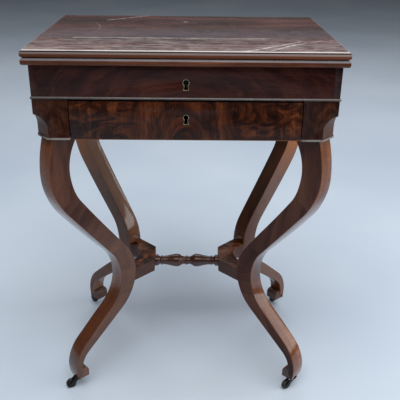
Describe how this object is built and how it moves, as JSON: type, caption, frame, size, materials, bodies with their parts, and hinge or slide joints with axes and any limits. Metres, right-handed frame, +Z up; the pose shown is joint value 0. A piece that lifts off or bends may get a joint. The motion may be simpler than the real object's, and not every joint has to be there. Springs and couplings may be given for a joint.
{
  "type": "writing desk",
  "caption": "Fold-over writing desk with a swivelling hinged top over a well, a drawer in the frieze, S-shaped legs joined by a turned stretcher, and casters.",
  "frame": {"origin": "on the floor under the middle of the closed top", "axes": "+X to the sitter's right, +Y to the back, +Z up; the drawer faces -Y"},
  "size_m": [0.55, 0.3955, 0.735],
  "materials": {
    "mahogany": "old polish, satin, worn on the edges",
    "secondary_wood": "unpolished",
    "writing_lining": "matte",
    "brass": "dull with age",
    "pivot_steel": "dull",
    "caster_metal": "blackened"
  },
  "bodies": {
    "frame": {"frieze_front": "mahogany", "frieze_back": "mahogany", "frieze_left": "mahogany", "frieze_right": "mahogany", "bead_rails": "mahogany", "heel_blocks": "mahogany", "stretcher": "mahogany", "side_panel_left": "mahogany", "side_panel_right": "mahogany", "back_panel": "mahogany", "waist_block_left": "mahogany", "waist_block_right": "mahogany", "corner_block_front_left": "mahogany", "corner_block_front_right": "mahogany", "corner_block_back_left": "mahogany", "corner_block_back_right": "mahogany", "leg_front_left": "mahogany", "leg_front_right": "mahogany", "leg_back_left": "mahogany", "leg_back_right": "mahogany", "well_floor": "secondary_wood", "pivot_batten": "secondary_wood", "drawer_runner_left": "secondary_wood", "drawer_runner_right": "secondary_wood", "dowels": "secondary_wood", "well_keyhole_thread": "brass", "well_lock_case": "brass", "well_lock_bolt": "brass", "caster_plates": "caster_metal"},
    "top": {"lower_leaf": "mahogany", "lower_lining": "writing_lining", "lower_hinge_plates": "brass", "hinge_pins": "brass", "lower_hinge_screws": "brass", "pivot_bolt": "pivot_steel", "pivot_nut": "pivot_steel"},
    "flap": {"upper_leaf": "mahogany", "upper_lining": "writing_lining", "upper_hinge_plates": "brass", "upper_hinge_screws": "brass"},
    "drawer": {"drawer_front": "mahogany", "drawer_side_left": "secondary_wood", "drawer_side_right": "secondary_wood", "drawer_back": "secondary_wood", "drawer_bottom": "secondary_wood", "drawer_lock_case": "brass", "drawer_keyhole_thread": "brass"},
    "drawer_bolt": {"drawer_lock_bolt": "brass"},
    "caster_front_left": {"caster_horn_front_left": "caster_metal", "caster_axle_front_left": "caster_metal"},
    "wheel_front_left": {"caster_wheel_front_left": "caster_metal"},
    "caster_front_right": {"caster_horn_front_right": "caster_metal", "caster_axle_front_right": "caster_metal"},
    "wheel_front_right": {"caster_wheel_front_right": "caster_metal"},
    "caster_back_left": {"caster_horn_back_left": "caster_metal", "caster_axle_back_left": "caster_metal"},
    "wheel_back_left": {"caster_wheel_back_left": "caster_metal"},
    "caster_back_right": {"caster_horn_back_right": "caster_metal", "caster_axle_back_right": "caster_metal"},
    "wheel_back_right": {"caster_wheel_back_right": "caster_metal"}
  },
  "joints": [
    {"name": "top_swivel", "type": "hinge", "parent": "frame", "child": "top", "pos_m": [0.09832, 0.09832, 0.7092], "axis": [0, 0, 1], "range_deg": [0, 90]},
    {"name": "leaf_fold", "type": "hinge", "parent": "top", "child": "flap", "pos_m": [0, 0.19665, 0.7223], "axis": [-1, 0, 0], "range_deg": [0, 180]},
    {"name": "drawer_slide", "type": "slide", "parent": "frame", "child": "drawer", "axis": [0, -1, 0], "range_m": [0, 0.25]},
    {"name": "drawer_bolt_throw", "type": "slide", "parent": "drawer", "child": "drawer_bolt", "axis": [0, 0, 1], "range_m": [0, 0.006]},
    {"name": "caster_swivel_front_left", "type": "hinge", "parent": "frame", "child": "caster_front_left", "pos_m": [-0.23349, -0.15573, 0.0242], "axis": [0, 0, 1], "continuous": true},
    {"name": "wheel_roll_front_left", "type": "hinge", "parent": "caster_front_left", "child": "wheel_front_left", "pos_m": [-0.2489, -0.16291, 0.011], "axis": [0.4226, -0.9063, 0], "continuous": true},
    {"name": "caster_swivel_front_right", "type": "hinge", "parent": "frame", "child": "caster_front_right", "pos_m": [0.23349, -0.15573, 0.0242], "axis": [0, 0, 1], "continuous": true},
    {"name": "wheel_roll_front_right", "type": "hinge", "parent": "caster_front_right", "child": "wheel_front_right", "pos_m": [0.21908, -0.16473, 0.011], "axis": [0.5299, -0.848, 0], "continuous": true},
    {"name": "caster_swivel_back_left", "type": "hinge", "parent": "frame", "child": "caster_back_left", "pos_m": [-0.23349, 0.15573, 0.0242], "axis": [0, 0, 1], "continuous": true},
    {"name": "wheel_roll_back_left", "type": "hinge", "parent": "caster_back_left", "child": "wheel_back_left", "pos_m": [-0.24613, 0.1671, 0.011], "axis": [-0.6691, -0.7431, 0], "continuous": true},
    {"name": "caster_swivel_back_right", "type": "hinge", "parent": "frame", "child": "caster_back_right", "pos_m": [0.23349, 0.15573, 0.0242], "axis": [0, 0, 1], "continuous": true},
    {"name": "wheel_roll_back_right", "type": "hinge", "parent": "caster_back_right", "child": "wheel_back_right", "pos_m": [0.22712, 0.17149, 0.011], "axis": [-0.9272, -0.3746, 0], "continuous": true}
  ]
}
